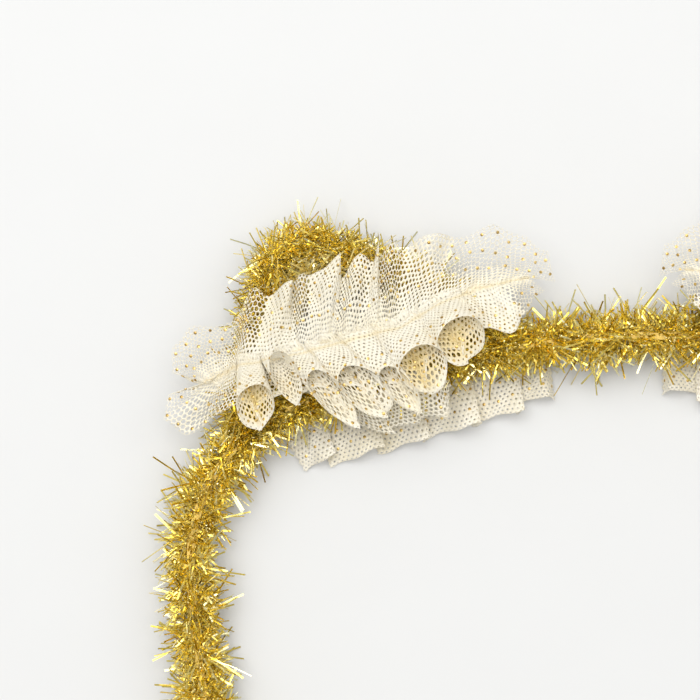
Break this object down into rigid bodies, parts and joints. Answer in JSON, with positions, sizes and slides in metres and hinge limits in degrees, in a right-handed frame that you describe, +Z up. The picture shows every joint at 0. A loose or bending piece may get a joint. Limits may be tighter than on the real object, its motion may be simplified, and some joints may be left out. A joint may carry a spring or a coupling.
{
  "type": "cat ears headband",
  "caption": "Springy U-shaped headband wound with gold tinsel, with bent tinsel cat ears and gathered dotted net ruffles across their bases, lying flat.",
  "frame": {"origin": "middle of the outer box, on the surface that the headband lies on", "axes": "+Z up from the surface, +Y towards the ear tips, +X across the head"},
  "size_m": [0.1676, 0.155, 0.0184],
  "materials": {
    "gold_tinsel": "metallised gold film cut into bright strips",
    "cream_net": "fine six-sided net with small glued gold dots",
    "band_lacquer": "gold lacquered spring strip"
  },
  "bodies": {
    "root": {"band_strip": "band_lacquer", "band_tinsel": "gold_tinsel", "left_ear_tinsel": "gold_tinsel", "right_ear_tinsel": "gold_tinsel", "left_ruffle_front": "cream_net", "right_ruffle_front": "cream_net", "left_ruffle_back": "cream_net", "right_ruffle_back": "cream_net"}
  },
  "joints": []
}
